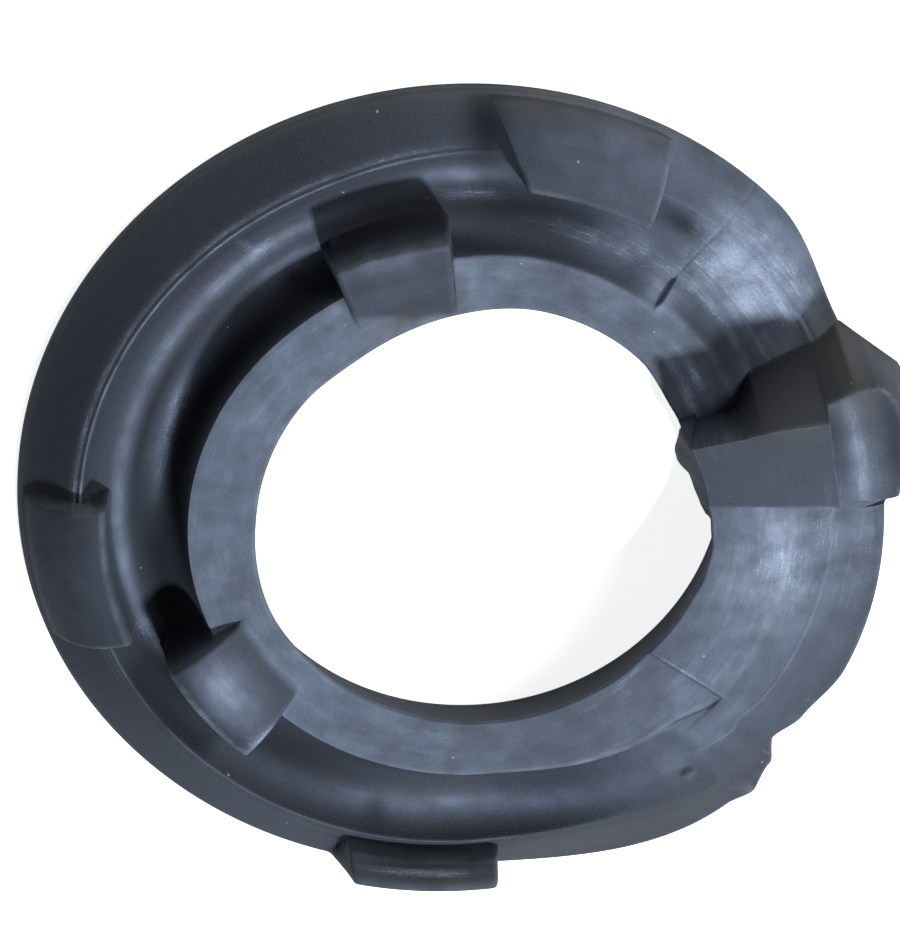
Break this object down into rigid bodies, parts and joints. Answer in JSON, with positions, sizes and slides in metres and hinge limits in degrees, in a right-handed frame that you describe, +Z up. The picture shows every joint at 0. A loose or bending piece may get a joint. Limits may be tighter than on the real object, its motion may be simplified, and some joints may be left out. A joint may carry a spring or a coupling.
{
  "type": "coil spring insulator",
  "caption": "Moulded rubber ring with a climbing groove that seats the end of a coil spring against a stop block.",
  "frame": {"origin": "midway along X and Y of the whole part, on its flat base", "axes": "+Z up through the centre hole, +X from the centre through the stop block and its lug, angles anticlockwise from above"},
  "size_m": [0.1558, 0.15, 0.021],
  "materials": {
    "moulded_rubber": "satin"
  },
  "bodies": {
    "root": {"spring_insulator": "moulded_rubber"}
  },
  "joints": []
}
